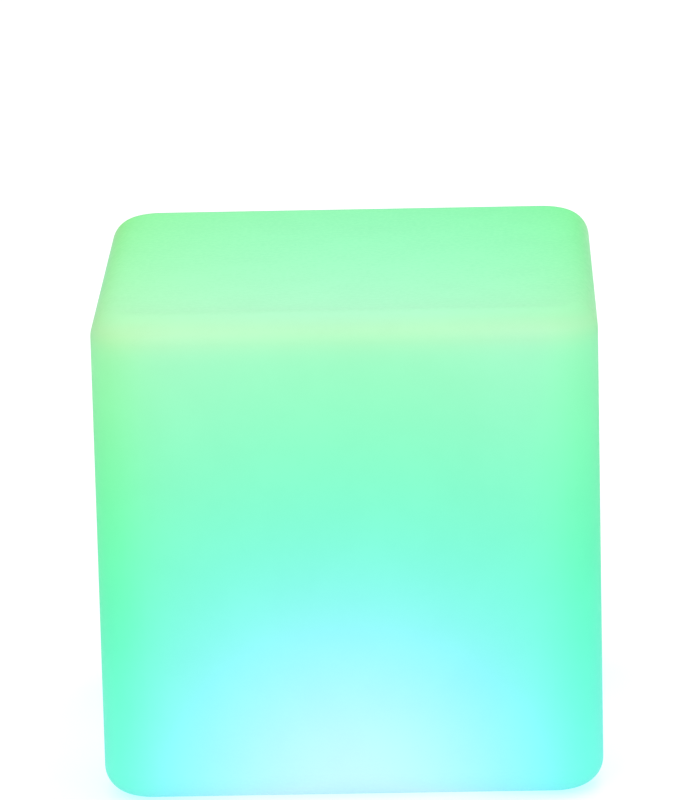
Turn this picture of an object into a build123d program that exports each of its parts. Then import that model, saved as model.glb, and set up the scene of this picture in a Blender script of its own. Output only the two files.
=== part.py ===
from build123d import *

import os
from math import cos, radians, sin, tan

# A rechargeable cube light: a hollow moulded cube of milky polyethylene that stands on four rubber
# feet, with a sealed round lamp unit screwed into a mouth in its underside. Sizes are in
# millimetres. The origin is on the ground under the middle of the cube, +Z is up, the front faces -Y.

# ---------------------------------------------------------------- the moulded cube

CUBE_SIDE = 400.0
CUBE_TOP = 400.0           # height of the top face above the ground
UPRIGHT_EDGE_R = 40.0      # rounding of the four upright edges
LEVEL_EDGE_R = 22.0        # rounding of the edges round the top and the bottom
SHELL_WALL = 4.0
GROUND_GAP = 2.5           # how far the feet hold the cube off the ground
POCKET_DEPTH = 13.0        # pocket under the cube that the lamp unit's flange lies in
POCKET_GAP = 4.0           # gap between the pocket's wall and the flange
POCKET_BEVEL = 3.0
MOUTH_GAP = 2.0            # gap between the mouth and the lamp housing

# ---------------------------------------------------------------- inserts and feet

INSERT_WALL = 1.6
BOSS_WALL = 3.5            # plastic round an insert
BOSS_CAP = 3.0             # plastic over an insert's end
THREAD_GAP = 0.05          # between a screw's shank and what it is turned into
HOLE_GAP = 0.3             # between a screw's shank and a plain hole
TIP_GAP = 0.5              # between a screw's tip and the end of its hole
UNIT_INSERT_LENGTH = 10.0

FOOT_SPACING = 280.0
FOOT_R = 14.0
FOOT_SEAT_DEPTH = 1.5      # how deep a foot is let into the cube
FOOT_FIT = 0.3

# ---------------------------------------------------------------- lamp unit casing

GASKET_THICK = 1.6
GASKET_INSET = 1.0
FLANGE_RIM = 19.0          # width of the flange outside the mouth
FLANGE_THICK = 4.0
FLANGE_BEVEL = 1.5
UNIT_SCREW_COUNT = 4
UNIT_SCREW_R = 2.0
UNIT_HEAD_R = 4.2
UNIT_HEAD_H = 2.2

HOUSING_R = 54.0
HOUSING_WALL = 3.0
SEAL_THICK = 1.0
SEAL_INSET = 0.2
DECK_THICK = 3.6
HOUSING_SCREW_COUNT = 3
HOUSING_SCREW_R = 1.5
HOUSING_HEAD_R = 2.8
HOUSING_HEAD_H = 1.6
HOUSING_SCREW_GRIP = 9.0
HOUSING_BOSS_R = 3.6
BOSS_BITE = 0.6            # how far a boss runs into the wall beside it

DOME_WALL = 2.0
DOME_RIM = 6.0             # width of the dome's rim outside its wall
DOME_RIM_THICK = 2.4
LIP_HEIGHT = 1.2           # lip of the deck round the dome's rim
DOME_SEAT_GAP = 0.3
DOME_RISE = 18.0
DOME_SHOULDER = 0.55       # height of the dome's shoulder, as a share of its rise
DOME_SHOULDER_IN = 6.0     # how far the wall leans in at the shoulder
DOME_TOP_IN = 20.0         # how far the flat top lies inside the wall

# ---------------------------------------------------------------- light source

LED_BOARD_R = 36.0
LED_BOARD_THICK = 1.6
LED_BOARD_GAP = 2.0        # gap between the board and the dome
LED_RINGS = ((6, 11.0), (12, 23.0))   # how many light chips in each ring, and its radius
LED_SIDE = 5.0
LED_HEIGHT = 1.5
LED_SCREW_COUNT = 2
LED_SCREW_EDGE = 4.5       # from a screw to the board's edge
LED_SCREW_R = 1.25
LED_HEAD_R = 2.3
LED_HEAD_H = 1.4
LED_SCREW_GRIP = 2.6

# ---------------------------------------------------------------- control board

BOARD_LIFT = 10.0          # underside of the control board above the floor of the base
BOARD_THICK = 1.6
BOARD_EDGE = 2.0           # board outside its posts
BOARD_DEPTH = 66.0
POST_R = 3.2
POST_SCREW_R = 1.25
POST_BORE = 7.0
SPACER_HEIGHT = 6.5        # hexagonal spacers between the board and the battery cradle
SPACER_R = 2.9
POST_FRONT_Y = -9.0
POST_BACK_Y = 26.0
CHIPS = ((7.0, 7.0, 1.2, 0.0, 8.0), (5.0, 4.0, 1.4, 12.0, 2.0), (5.0, 4.0, 1.4, -12.0, 2.0),
         (8.0, 6.0, 3.2, 12.0, 18.0), (8.0, 6.0, 3.2, -12.0, 18.0))   # width, depth, height, x, y
COIL_SIDE = 9.0
COIL_HEIGHT = 3.8
COIL_CORNER = 1.8
COIL_PLACE = (-12.0, -14.0)
PLUG_WIDTH = 9.0                       # the battery lead's socket on the board
PLUG_DEPTH = 5.0
PLUG_HEIGHT = 4.4
PLUG_EDGE = 1.0                        # from the plug's socket to the board's front edge

# ---------------------------------------------------------------- battery

CELL_R = 9.2
CELL_LENGTH = 65.0
CELL_COUNT = 2
CELL_GAP = 0.6
CELL_TIP_R = 3.0
CELL_TIP_H = 0.8
LINK_THICK = 0.4
LINK_WIDTH = 8.0
CRADLE_FLOOR = 2.0
CRADLE_WALL = 2.0
CRADLE_FIT = 0.3
CRADLE_HOLD = 5.0          # how far the cradle comes up round the cells
EAR_R = 4.0
CRADLE_HEAD_R = 2.3
CRADLE_HEAD_H = 1.4
STRAP_WIDTH = 6.0
STRAP_THICK = 0.8
STRAP_BEVEL = 4.0
STRAP_Y = 17.0
LEAD_ROOM = 3.0            # between the battery straps and the deck

# ---------------------------------------------------------------- charging port

PORT_X = -18.0
ROW_Y = -24.0              # port, indicator and button stand in a row
WELL_R = 6.0
WELL_RISE = 3.6            # how far the well's collar stands up inside the base
WELL_WALL = 2.0
SOCKET_BORE_R = 3.1
SOCKET_BACK = 1.4
SOCKET_PIN_R = 1.05
SOCKET_PIN_SHY = 0.8       # how far the pin stops short of the socket's face
COVER_R = 8.5
COVER_THICK = 1.6
COVER_SEAT_DEPTH = 1.2     # recess of the base that the cover lies in
COVER_FIT = 0.4
COVER_PLUG_DEPTH = 1.5
COVER_PLUG_GAP = 0.6
COVER_TAB = 4.0
COVER_TAB_WIDTH = 7.0
FOLD_REACH = 12.0          # from the port's axis to the fold of the strap
FOLD_GAP = 0.3
NECK_WIDTH = 6.0
ANCHOR_LENGTH = 7.0
STEM_R = 1.6
STEM_FIT = 0.05
STEM_HEAD_R = 2.3
STEM_HEAD_H = 1.2

# ---------------------------------------------------------------- power button and indicator

BUTTON_X = 18.0
BUTTON_R = 6.5
BUTTON_RUN = 0.08
BUTTON_TRAVEL = 1.5
BUTTON_PROUD = 0.9
BUTTON_BEVEL = 0.5
BUTTON_FLANGE = 1.2
BUTTON_FLANGE_H = 1.0
BUTTON_STEM_R = 1.9
BUTTON_GUARD = 2.0         # width of the raised ring round the button
BUTTON_GUARD_H = 0.8
BOOT_WALL = 0.6
BOOT_GAP = 0.5
BOOT_RIM = 2.2
SWITCH_SIDE = 8.0
SWITCH_HEIGHT = 4.8
PLUNGER_R = 1.5
PLUNGER_RUN = 0.08
PLUNGER_SHOW = 1.9         # plunger outside the switch at rest
PLUNGER_HOLD = 1.6         # plunger inside the switch at rest
INDICATOR_R = 1.8
INDICATOR_FIT = 0.05
INDICATOR_CHIP_SIDE = 2.0
INDICATOR_CHIP_H = 1.0

# ---------------------------------------------------------------- flat leads

LEAD_THICK = 1.2
LED_LEAD_WIDTH = 6.4
LED_LEAD_END = 6.5         # length that lies on the light board
BATTERY_LEAD_WIDTH = 3.2
BATTERY_LEAD_REACH = 5.5   # how far the lead stands out in front of the cells
LEAD_SLOT_WIDTH = 8.0
LEAD_SLOT_GAP = 0.8
BEND_SHARE = 0.45          # share of the shorter run that a bend takes

# ---------------------------------------------------------------- levels and places worked out

SEAT_Z = GROUND_GAP + POCKET_DEPTH
FLOOR_Z = SEAT_Z - GASKET_THICK
FLANGE_Z = FLOOR_Z - FLANGE_THICK
RIM_Z = FLOOR_Z + SEAL_THICK
FOOT_SEAT_Z = GROUND_GAP + FOOT_SEAT_DEPTH
BOARD_Z = FLOOR_Z + BOARD_LIFT
BOARD_TOP = BOARD_Z + BOARD_THICK
CRADLE_Z = BOARD_TOP + SPACER_HEIGHT
TRAY_Z = CRADLE_Z + CRADLE_FLOOR
TRAY_TOP = TRAY_Z + CRADLE_HOLD
CELL_Z = TRAY_Z + CELL_R
STRAP_TOP = CELL_Z + CELL_R + STRAP_THICK
DECK_Z = STRAP_TOP + LEAD_ROOM
DECK_TOP = DECK_Z + DECK_THICK
LED_Z = DECK_TOP + LED_BOARD_THICK
DOME_TOP = DECK_TOP + DOME_RIM_THICK + DOME_RISE
WELL_TOP = FLOOR_Z + WELL_RISE
COVER_SEAT_Z = FLANGE_Z + COVER_SEAT_DEPTH
COVER_FACE_Z = COVER_SEAT_Z - COVER_THICK
BUTTON_FACE_Z = FLANGE_Z - BUTTON_PROUD
BUTTON_BACK_Z = FLOOR_Z + BUTTON_FLANGE_H
SWITCH_Z = BOARD_Z - SWITCH_HEIGHT
PLUNGER_Z = SWITCH_Z - PLUNGER_SHOW
STEM_TOP = PLUNGER_Z - BOOT_WALL

HOUSING_BORE_R = HOUSING_R - HOUSING_WALL
MOUTH_R = HOUSING_R + MOUTH_GAP
FLANGE_R = MOUTH_R + FLANGE_RIM
POCKET_R = FLANGE_R + POCKET_GAP
DOME_R = LED_BOARD_R + LED_BOARD_GAP + DOME_WALL
DOME_RIM_R = DOME_R + DOME_RIM
CELL_PITCH = 2 * CELL_R + CELL_GAP
TRAY_WIDTH = CELL_PITCH * CELL_COUNT + 2 * CRADLE_WALL
LINK_FRONT_Y = -(CELL_LENGTH / 2 + CELL_TIP_H + LINK_THICK)
POST_X = TRAY_WIDTH / 2 + EAR_R
BOARD_WIDTH = 2 * (POST_X + POST_R + BOARD_EDGE)
ANCHOR_Y = ROW_Y - FOLD_REACH - FOLD_GAP - ANCHOR_LENGTH / 2
BOOT_R = BUTTON_R + BUTTON_FLANGE + BOOT_GAP


# ---------------------------------------------------------------- helpers

def disc(radius, low, high, x=0.0, y=0.0):
    """A round bar from one level to another."""
    standing = (Align.CENTER, Align.CENTER, Align.MIN)
    return Location((x, y, low)) * Cylinder(radius, high - low, align=standing)


def ring(outer, inner, low, high, x=0.0, y=0.0):
    return disc(outer, low, high, x, y) - disc(inner, low, high, x, y)


def block(width, depth, low, high, x=0.0, y=0.0):
    """A square-edged bar from one level to another."""
    standing = (Align.CENTER, Align.CENTER, Align.MIN)
    return Location((x, y, low)) * Box(width, depth, high - low, align=standing)


def hexagon(radius, low, high, x=0.0, y=0.0):
    """A six-sided bar; the radius is across its flats."""
    return extrude(Location((x, y, low)) * RegularPolygon(radius, 6, major_radius=False), high - low)


def turned(points, x=0.0, y=0.0):
    """A solid turned about an upright axis from a half profile of (radius, height) points."""
    profile = make_face(Polyline(*[(r, 0, z) for r, z in points], close=True))
    return Location((x, y, 0)) * revolve(profile, Axis.Z)


def rounded_block(side, low, high, upright_r, level_r):
    """A square block whose upright edges and level edges are rounded differently."""
    body = extrude(Location((0, 0, low)) * RectangleRounded(side, side, upright_r), high - low)
    level = body.edges().group_by(Axis.Z)
    return fillet(level[0] + level[-1], level_r)


def on_circle(count, radius, turn=0.0):
    """Evenly spaced (x, y) places on a circle."""
    angles = [radians(turn + 360.0 / count * i) for i in range(count)]
    return [(radius * cos(a), radius * sin(a)) for a in angles]


def screw(head_z, up, shank_r, length, head_r, head_h, x, y):
    """A screw with a six-sided head that bears at head_z; its shank runs up or down from there."""
    if up:
        return hexagon(head_r, head_z - head_h, head_z, x, y) + disc(shank_r, head_z, head_z + length, x, y)
    return hexagon(head_r, head_z, head_z + head_h, x, y) + disc(shank_r, head_z - length, head_z, x, y)


def flat_lead(points, width, across):
    """A flat lead along straight runs in one plane, with large bends; across is its wide direction."""
    corners = [Vector(*p) for p in points]
    runs = [(b - a).length for a, b in zip(corners, corners[1:])]
    bends = []
    for i in range(len(runs) - 1):
        turn = (corners[i + 1] - corners[i]).get_angle(corners[i + 2] - corners[i + 1])
        bends.append(BEND_SHARE * min(runs[i], runs[i + 1]) / tan(radians(turn / 2)))
    path = FilletPolyline(*points, radius=bends)
    section = Plane(origin=path @ 0, x_dir=across, z_dir=path % 0) * Rectangle(width, LEAD_THICK)
    return sweep(section, path=path)


# ---------------------------------------------------------------- places of what repeats

FOOT_PLACES = [(sx * FOOT_SPACING / 2, sy * FOOT_SPACING / 2) for sx in (-1, 1) for sy in (-1, 1)]
UNIT_SCREW_PLACES = on_circle(UNIT_SCREW_COUNT, (MOUTH_R + FLANGE_R) / 2, 45.0)
HOUSING_SCREW_PLACES = on_circle(HOUSING_SCREW_COUNT, HOUSING_BORE_R - HOUSING_BOSS_R + BOSS_BITE, 90.0)
LED_SCREW_PLACES = on_circle(LED_SCREW_COUNT, LED_BOARD_R - LED_SCREW_EDGE, 90.0)
POST_PLACES = [(sx * POST_X, y) for sx in (-1, 1) for y in (POST_FRONT_Y, POST_BACK_Y)]
CELL_XS = [CELL_PITCH * (i - (CELL_COUNT - 1) / 2) for i in range(CELL_COUNT)]
PLUG_PLACE = (CELL_XS[-1], PLUG_EDGE + PLUG_DEPTH / 2 - BOARD_DEPTH / 2)


# ---------------------------------------------------------------- the moulded cube

def insert_room(x, y):
    """The six-sided room that a brass insert fills."""
    return hexagon(UNIT_SCREW_R + THREAD_GAP + INSERT_WALL, SEAT_Z, SEAT_Z + UNIT_INSERT_LENGTH, x, y)


def diffuser_shell():
    """Hollow cube with a pocket and a mouth underneath, and bosses round its inserts."""
    inside = SHELL_WALL
    outer = rounded_block(CUBE_SIDE, GROUND_GAP, CUBE_TOP, UPRIGHT_EDGE_R, LEVEL_EDGE_R)
    hollow = rounded_block(CUBE_SIDE - 2 * inside, GROUND_GAP + inside, CUBE_TOP - inside,
                           UPRIGHT_EDGE_R - inside, LEVEL_EDGE_R - inside)
    hollow -= disc(POCKET_R + inside, GROUND_GAP + inside, SEAT_Z + inside)
    boss_r = UNIT_SCREW_R + THREAD_GAP + INSERT_WALL + BOSS_WALL
    for x, y in UNIT_SCREW_PLACES:
        hollow -= disc(boss_r, SEAT_Z, SEAT_Z + UNIT_INSERT_LENGTH + BOSS_CAP, x, y)
    shell = outer - hollow
    shell -= turned([(0, GROUND_GAP), (POCKET_R + POCKET_BEVEL, GROUND_GAP),
                     (POCKET_R, GROUND_GAP + POCKET_BEVEL), (POCKET_R, SEAT_Z), (0, SEAT_Z)])
    shell -= disc(MOUTH_R, SEAT_Z, SEAT_Z + inside)
    for x, y in UNIT_SCREW_PLACES:
        shell -= insert_room(x, y)
    for x, y in FOOT_PLACES:
        shell -= disc(FOOT_R + FOOT_FIT, GROUND_GAP, FOOT_SEAT_Z, x, y)
    return shell


def unit_inserts():
    """Six-sided brass inserts with a round bore, moulded into the seat of the lamp unit."""
    top = SEAT_Z + UNIT_INSERT_LENGTH
    return [insert_room(x, y) - disc(UNIT_SCREW_R + THREAD_GAP, SEAT_Z, top, x, y)
            for x, y in UNIT_SCREW_PLACES]


def rubber_feet():
    """Round pads bonded into shallow seats near the corners."""
    return [disc(FOOT_R, 0, FOOT_SEAT_Z, x, y) for x, y in FOOT_PLACES]


# ---------------------------------------------------------------- lamp unit casing

def mouth_gasket():
    """Flat silicone ring between the lamp base and the cube."""
    gasket = ring(FLANGE_R - GASKET_INSET, MOUTH_R + GASKET_INSET, FLOOR_Z, SEAT_Z)
    for x, y in UNIT_SCREW_PLACES:
        gasket -= disc(UNIT_SCREW_R + HOLE_GAP, FLOOR_Z, SEAT_Z, x, y)
    return gasket


def lamp_base():
    """Round flange plate with posts for board and battery, a port well, a button guard and screw holes."""
    plate = turned([(0, FLANGE_Z), (FLANGE_R - FLANGE_BEVEL, FLANGE_Z), (FLANGE_R, FLANGE_Z + FLANGE_BEVEL),
                    (FLANGE_R, FLOOR_Z), (0, FLOOR_Z)])
    for x, y in POST_PLACES:
        plate += disc(POST_R, FLOOR_Z, BOARD_Z, x, y)
        plate -= disc(POST_SCREW_R + THREAD_GAP, BOARD_Z - POST_BORE, BOARD_Z, x, y)
    plate += disc(WELL_R + WELL_WALL, FLOOR_Z, WELL_TOP, PORT_X, ROW_Y)
    plate -= disc(WELL_R, FLANGE_Z, WELL_TOP, PORT_X, ROW_Y)
    plate -= cover_plan(COVER_FIT, FLANGE_Z, COVER_SEAT_Z)
    plate -= disc(STEM_R + STEM_FIT, COVER_SEAT_Z, FLOOR_Z, PORT_X, ANCHOR_Y)
    button_hole_r = BUTTON_R + BUTTON_RUN
    plate += disc(button_hole_r + BUTTON_GUARD, FLANGE_Z - BUTTON_GUARD_H, FLANGE_Z, BUTTON_X, ROW_Y)
    plate -= disc(button_hole_r, FLANGE_Z - BUTTON_GUARD_H, FLOOR_Z, BUTTON_X, ROW_Y)
    plate -= disc(INDICATOR_R + INDICATOR_FIT, FLANGE_Z, FLOOR_Z, 0, ROW_Y)
    for x, y in UNIT_SCREW_PLACES:
        plate -= disc(UNIT_SCREW_R + HOLE_GAP, FLANGE_Z, FLOOR_Z, x, y)
    for x, y in HOUSING_SCREW_PLACES:
        plate -= disc(HOUSING_SCREW_R + HOLE_GAP, FLANGE_Z, FLOOR_Z, x, y)
    return plate


def unit_screws():
    length = FLANGE_THICK + GASKET_THICK + UNIT_INSERT_LENGTH - TIP_GAP
    return [screw(FLANGE_Z, True, UNIT_SCREW_R, length, UNIT_HEAD_R, UNIT_HEAD_H, x, y)
            for x, y in UNIT_SCREW_PLACES]


def housing_seal():
    """Flat ring under the lamp housing's rim."""
    return ring(HOUSING_R - SEAL_INSET, HOUSING_BORE_R + SEAL_INSET, FLOOR_Z, RIM_Z)


def lamp_housing():
    """Upturned cup with a flat deck for the light source and screw bosses against its wall."""
    dish_r = DOME_RIM_R + DOME_SEAT_GAP
    lip_top = DECK_TOP + LIP_HEIGHT
    cup = turned([(HOUSING_BORE_R, RIM_Z), (HOUSING_R, RIM_Z), (HOUSING_R, lip_top), (dish_r, lip_top),
                  (dish_r, DECK_TOP), (0, DECK_TOP), (0, DECK_Z), (HOUSING_BORE_R, DECK_Z)])
    for x, y in HOUSING_SCREW_PLACES:
        cup += disc(HOUSING_BOSS_R, RIM_Z, RIM_Z + HOUSING_SCREW_GRIP + BOSS_CAP, x, y)
        cup -= disc(HOUSING_SCREW_R + THREAD_GAP, RIM_Z, RIM_Z + HOUSING_SCREW_GRIP, x, y)
    for x, y in LED_SCREW_PLACES:
        cup -= disc(LED_SCREW_R + THREAD_GAP, DECK_TOP - LED_SCREW_GRIP, DECK_TOP, x, y)
    return cup - block(LEAD_SLOT_WIDTH, LED_LEAD_WIDTH + 2 * LEAD_SLOT_GAP, DECK_Z, DECK_TOP)


def housing_screws():
    length = FLANGE_THICK + SEAL_THICK + HOUSING_SCREW_GRIP - TIP_GAP
    return [screw(FLANGE_Z, True, HOUSING_SCREW_R, length, HOUSING_HEAD_R, HOUSING_HEAD_H, x, y)
            for x, y in HOUSING_SCREW_PLACES]


def lens_dome():
    """Clear cap of even thickness over the light source, with a flat rim inside the deck's lip."""
    rim_top = DECK_TOP + DOME_RIM_THICK
    shoulder = rim_top + DOME_RISE * DOME_SHOULDER
    outside = [(DOME_RIM_R, DECK_TOP), (DOME_RIM_R, rim_top), (DOME_R, rim_top),
               (DOME_R - DOME_SHOULDER_IN, shoulder), (DOME_R - DOME_TOP_IN, DOME_TOP), (0, DOME_TOP)]
    inside = [(0, DOME_TOP - DOME_WALL), (DOME_R - DOME_TOP_IN - DOME_WALL / 2, DOME_TOP - DOME_WALL),
              (DOME_R - DOME_SHOULDER_IN - DOME_WALL, shoulder - DOME_WALL / 2),
              (DOME_R - DOME_WALL, rim_top), (DOME_R - DOME_WALL, DECK_TOP)]
    return turned(outside + inside)


# ---------------------------------------------------------------- light source

def led_board():
    board = disc(LED_BOARD_R, DECK_TOP, LED_Z)
    for x, y in LED_SCREW_PLACES:
        board -= disc(LED_SCREW_R + HOLE_GAP, DECK_TOP, LED_Z, x, y)
    return board - block(LEAD_SLOT_WIDTH, LED_LEAD_WIDTH + 2 * LEAD_SLOT_GAP, DECK_TOP, LED_Z)


def led_chips():
    """Square light chips in rings, each turned to face the middle."""
    chips = []
    for count, radius in LED_RINGS:
        for i in range(count):
            chip = block(LED_SIDE, LED_SIDE, LED_Z, LED_Z + LED_HEIGHT, radius, 0)
            chips.append(Rotation(0, 0, 360.0 / count * i) * chip)
    return chips


def led_screws():
    length = LED_BOARD_THICK + LED_SCREW_GRIP - TIP_GAP
    return [screw(LED_Z, False, LED_SCREW_R, length, LED_HEAD_R, LED_HEAD_H, x, y)
            for x, y in LED_SCREW_PLACES]


# ---------------------------------------------------------------- control board

def control_board():
    board = block(BOARD_WIDTH, BOARD_DEPTH, BOARD_Z, BOARD_TOP)
    for x, y in POST_PLACES:
        board -= disc(POST_SCREW_R + HOLE_GAP, BOARD_Z, BOARD_TOP, x, y)
    return board


def control_parts():
    """Chips, a power coil and the battery lead's socket on the board, and the indicator chip under it."""
    parts = [block(w, d, BOARD_TOP, BOARD_TOP + h, x, y) for w, d, h, x, y in CHIPS]
    coil = block(COIL_SIDE, COIL_SIDE, BOARD_TOP, BOARD_TOP + COIL_HEIGHT, *COIL_PLACE)
    parts.append(chamfer(coil.edges().filter_by(Axis.Z), COIL_CORNER))
    parts.append(block(PLUG_WIDTH, PLUG_DEPTH, BOARD_TOP, BOARD_TOP + PLUG_HEIGHT, *PLUG_PLACE))
    side = INDICATOR_CHIP_SIDE
    parts.append(block(side, side, BOARD_Z - INDICATOR_CHIP_H, BOARD_Z, 0, ROW_Y))
    return parts


def board_spacers():
    """Six-sided sleeves between the board and the battery cradle."""
    bore_r = POST_SCREW_R + HOLE_GAP
    return [hexagon(SPACER_R, BOARD_TOP, CRADLE_Z, x, y) - disc(bore_r, BOARD_TOP, CRADLE_Z, x, y)
            for x, y in POST_PLACES]


# ---------------------------------------------------------------- battery

def battery_cradle():
    """Tray with saddle ribs under the cells, low walls and four screw ears."""
    length = CELL_LENGTH + 2 * (CELL_TIP_H + LINK_THICK + CRADLE_FIT + CRADLE_WALL)
    inner_width = TRAY_WIDTH - 2 * CRADLE_WALL
    tray = block(TRAY_WIDTH, length, CRADLE_Z, TRAY_TOP)
    tray -= block(inner_width, length - 2 * CRADLE_WALL, TRAY_Z, TRAY_TOP)
    for y in (-STRAP_Y, STRAP_Y):
        rib = block(inner_width, CRADLE_WALL, TRAY_Z, TRAY_TOP, 0, y)
        for x in CELL_XS:
            rib -= Location((x, y, CELL_Z)) * Rotation(90, 0, 0) * Cylinder(CELL_R, 2 * CRADLE_WALL)
        tray += rib
    for x, y in POST_PLACES:
        inward = x - EAR_R / 2 if x > 0 else x + EAR_R / 2
        ear = disc(EAR_R, CRADLE_Z, TRAY_Z, x, y) + block(EAR_R, 2 * EAR_R, CRADLE_Z, TRAY_Z, inward, y)
        tray += ear - disc(POST_SCREW_R + HOLE_GAP, CRADLE_Z, TRAY_Z, x, y)
    return tray


def battery_cells():
    """Round cells side by side, each with its raised end at the front."""
    cells = []
    for x in CELL_XS:
        cell = Cylinder(CELL_R, CELL_LENGTH)
        cell += Location((0, 0, (CELL_LENGTH + CELL_TIP_H) / 2)) * Cylinder(CELL_TIP_R, CELL_TIP_H)
        cells.append(Location((x, 0, CELL_Z)) * Rotation(90, 0, 0) * cell)
    return cells


def cell_links():
    """Flat strips that join the cells at both ends."""
    width = CELL_PITCH * (CELL_COUNT - 1) + 2 * CELL_TIP_R
    middles = (LINK_FRONT_Y + LINK_THICK / 2, CELL_LENGTH / 2 + LINK_THICK / 2)
    return [block(width, LINK_THICK, CELL_Z - LINK_WIDTH / 2, CELL_Z + LINK_WIDTH / 2, 0, y) for y in middles]


def cell_straps():
    """Flat straps over the cells that stand on the cradle's side walls."""
    straps = []
    for y in (-STRAP_Y, STRAP_Y):
        outside = block(TRAY_WIDTH, STRAP_WIDTH, TRAY_TOP, STRAP_TOP, 0, y)
        outside = chamfer(outside.edges().filter_by(Axis.Y).group_by(Axis.Z)[-1], STRAP_BEVEL)
        inside = block(TRAY_WIDTH - 2 * STRAP_THICK, STRAP_WIDTH, TRAY_TOP, STRAP_TOP - STRAP_THICK, 0, y)
        inside = chamfer(inside.edges().filter_by(Axis.Y).group_by(Axis.Z)[-1], STRAP_BEVEL - STRAP_THICK / 2)
        straps.append(outside - inside)
    return straps


def cradle_screws():
    """Long screws through cradle, spacers and board into the posts."""
    length = TRAY_Z - BOARD_Z + POST_BORE - TIP_GAP
    return [screw(TRAY_Z, False, POST_SCREW_R, length, CRADLE_HEAD_R, CRADLE_HEAD_H, x, y)
            for x, y in POST_PLACES]


# ---------------------------------------------------------------- charging port

def cover_plan(grow, low, high):
    """Room for the cover, its tab, its neck and its anchor, grown by a clearance."""
    room = disc(COVER_R + grow, low, high, PORT_X, ROW_Y)
    tab_end = ROW_Y + COVER_R + COVER_TAB + grow
    room += block(COVER_TAB_WIDTH + 2 * grow, tab_end - ROW_Y, low, high, PORT_X, (ROW_Y + tab_end) / 2)
    strap_end = ANCHOR_Y - ANCHOR_LENGTH / 2 - grow
    room += block(NECK_WIDTH + 2 * grow, ROW_Y - strap_end, low, high, PORT_X, (ROW_Y + strap_end) / 2)
    return room


def port_cover():
    """Silicone flap: a round lid with a shallow plug, a pull tab and its half of the strap."""
    lid = disc(COVER_R, COVER_FACE_Z, COVER_SEAT_Z, PORT_X, ROW_Y)
    tab_end = ROW_Y + COVER_R + COVER_TAB
    fold = ROW_Y - FOLD_REACH
    lid += block(COVER_TAB_WIDTH, tab_end - ROW_Y, COVER_FACE_Z, COVER_SEAT_Z, PORT_X, (ROW_Y + tab_end) / 2)
    lid += block(NECK_WIDTH, ROW_Y - fold, COVER_FACE_Z, COVER_SEAT_Z, PORT_X, (ROW_Y + fold) / 2)
    return lid + disc(WELL_R - COVER_PLUG_GAP, COVER_SEAT_Z, COVER_SEAT_Z + COVER_PLUG_DEPTH, PORT_X, ROW_Y)


def cover_anchor():
    """The fixed end of the strap, with a stem through the base and a head inside."""
    pad = block(NECK_WIDTH, ANCHOR_LENGTH, COVER_FACE_Z, COVER_SEAT_Z, PORT_X, ANCHOR_Y)
    pad += disc(STEM_R, COVER_SEAT_Z, FLOOR_Z, PORT_X, ANCHOR_Y)
    return pad + disc(STEM_HEAD_R, FLOOR_Z, FLOOR_Z + STEM_HEAD_H, PORT_X, ANCHOR_Y)


def charge_socket():
    """Square charging socket between the well's collar and the control board."""
    socket = block(2 * WELL_R, 2 * WELL_R, WELL_TOP, BOARD_Z, PORT_X, ROW_Y)
    return socket - disc(SOCKET_BORE_R, WELL_TOP, BOARD_Z - SOCKET_BACK, PORT_X, ROW_Y)


def socket_pin():
    return disc(SOCKET_PIN_R, WELL_TOP + SOCKET_PIN_SHY, BOARD_Z - SOCKET_BACK, PORT_X, ROW_Y)


# ---------------------------------------------------------------- power button and indicator

def indicator_lens():
    """Clear light guide from the chip under the board to the underside of the base."""
    return disc(INDICATOR_R, FLANGE_Z, BOARD_Z - INDICATOR_CHIP_H, 0, ROW_Y)


def power_button():
    """Round cap with a bevelled face, a flange that keeps it in the base, and a stem."""
    flange_r = BUTTON_R + BUTTON_FLANGE
    return turned([(0, BUTTON_FACE_Z), (BUTTON_R - BUTTON_BEVEL, BUTTON_FACE_Z),
                   (BUTTON_R, BUTTON_FACE_Z + BUTTON_BEVEL), (BUTTON_R, FLOOR_Z), (flange_r, FLOOR_Z),
                   (flange_r, BUTTON_BACK_Z), (BUTTON_STEM_R, BUTTON_BACK_Z), (BUTTON_STEM_R, STEM_TOP),
                   (0, STEM_TOP)], BUTTON_X, ROW_Y)


def button_boot():
    """Silicone hat over the button's back, with a flat rim on the floor of the base."""
    boot = disc(BOOT_R + BOOT_RIM, FLOOR_Z, FLOOR_Z + BOOT_WALL, BUTTON_X, ROW_Y)
    boot += disc(BOOT_R + BOOT_WALL, FLOOR_Z, PLUNGER_Z, BUTTON_X, ROW_Y)
    return boot - disc(BOOT_R, FLOOR_Z, STEM_TOP, BUTTON_X, ROW_Y)


def push_switch():
    """Square switch under the control board with a round hole for its plunger."""
    switch = block(SWITCH_SIDE, SWITCH_SIDE, SWITCH_Z, BOARD_Z, BUTTON_X, ROW_Y)
    room_top = SWITCH_Z + PLUNGER_HOLD + BUTTON_TRAVEL + HOLE_GAP
    return switch - disc(PLUNGER_R + PLUNGER_RUN, SWITCH_Z, room_top, BUTTON_X, ROW_Y)


def switch_plunger():
    return disc(PLUNGER_R, PLUNGER_Z, SWITCH_Z + PLUNGER_HOLD, BUTTON_X, ROW_Y)


# ---------------------------------------------------------------- leads

def battery_lead():
    """Flat two-core lead from the front link round the cradle's end to its socket on the board."""
    x, plug_y = PLUG_PLACE
    out_y = LINK_FRONT_Y - BATTERY_LEAD_REACH
    low = BOARD_TOP + PLUG_HEIGHT / 2
    front = plug_y - PLUG_DEPTH / 2
    route = [(x, LINK_FRONT_Y, CELL_Z), (x, out_y, CELL_Z), (x, out_y, low), (x, front, low)]
    return flat_lead(route, BATTERY_LEAD_WIDTH, (1, 0, 0))


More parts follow.
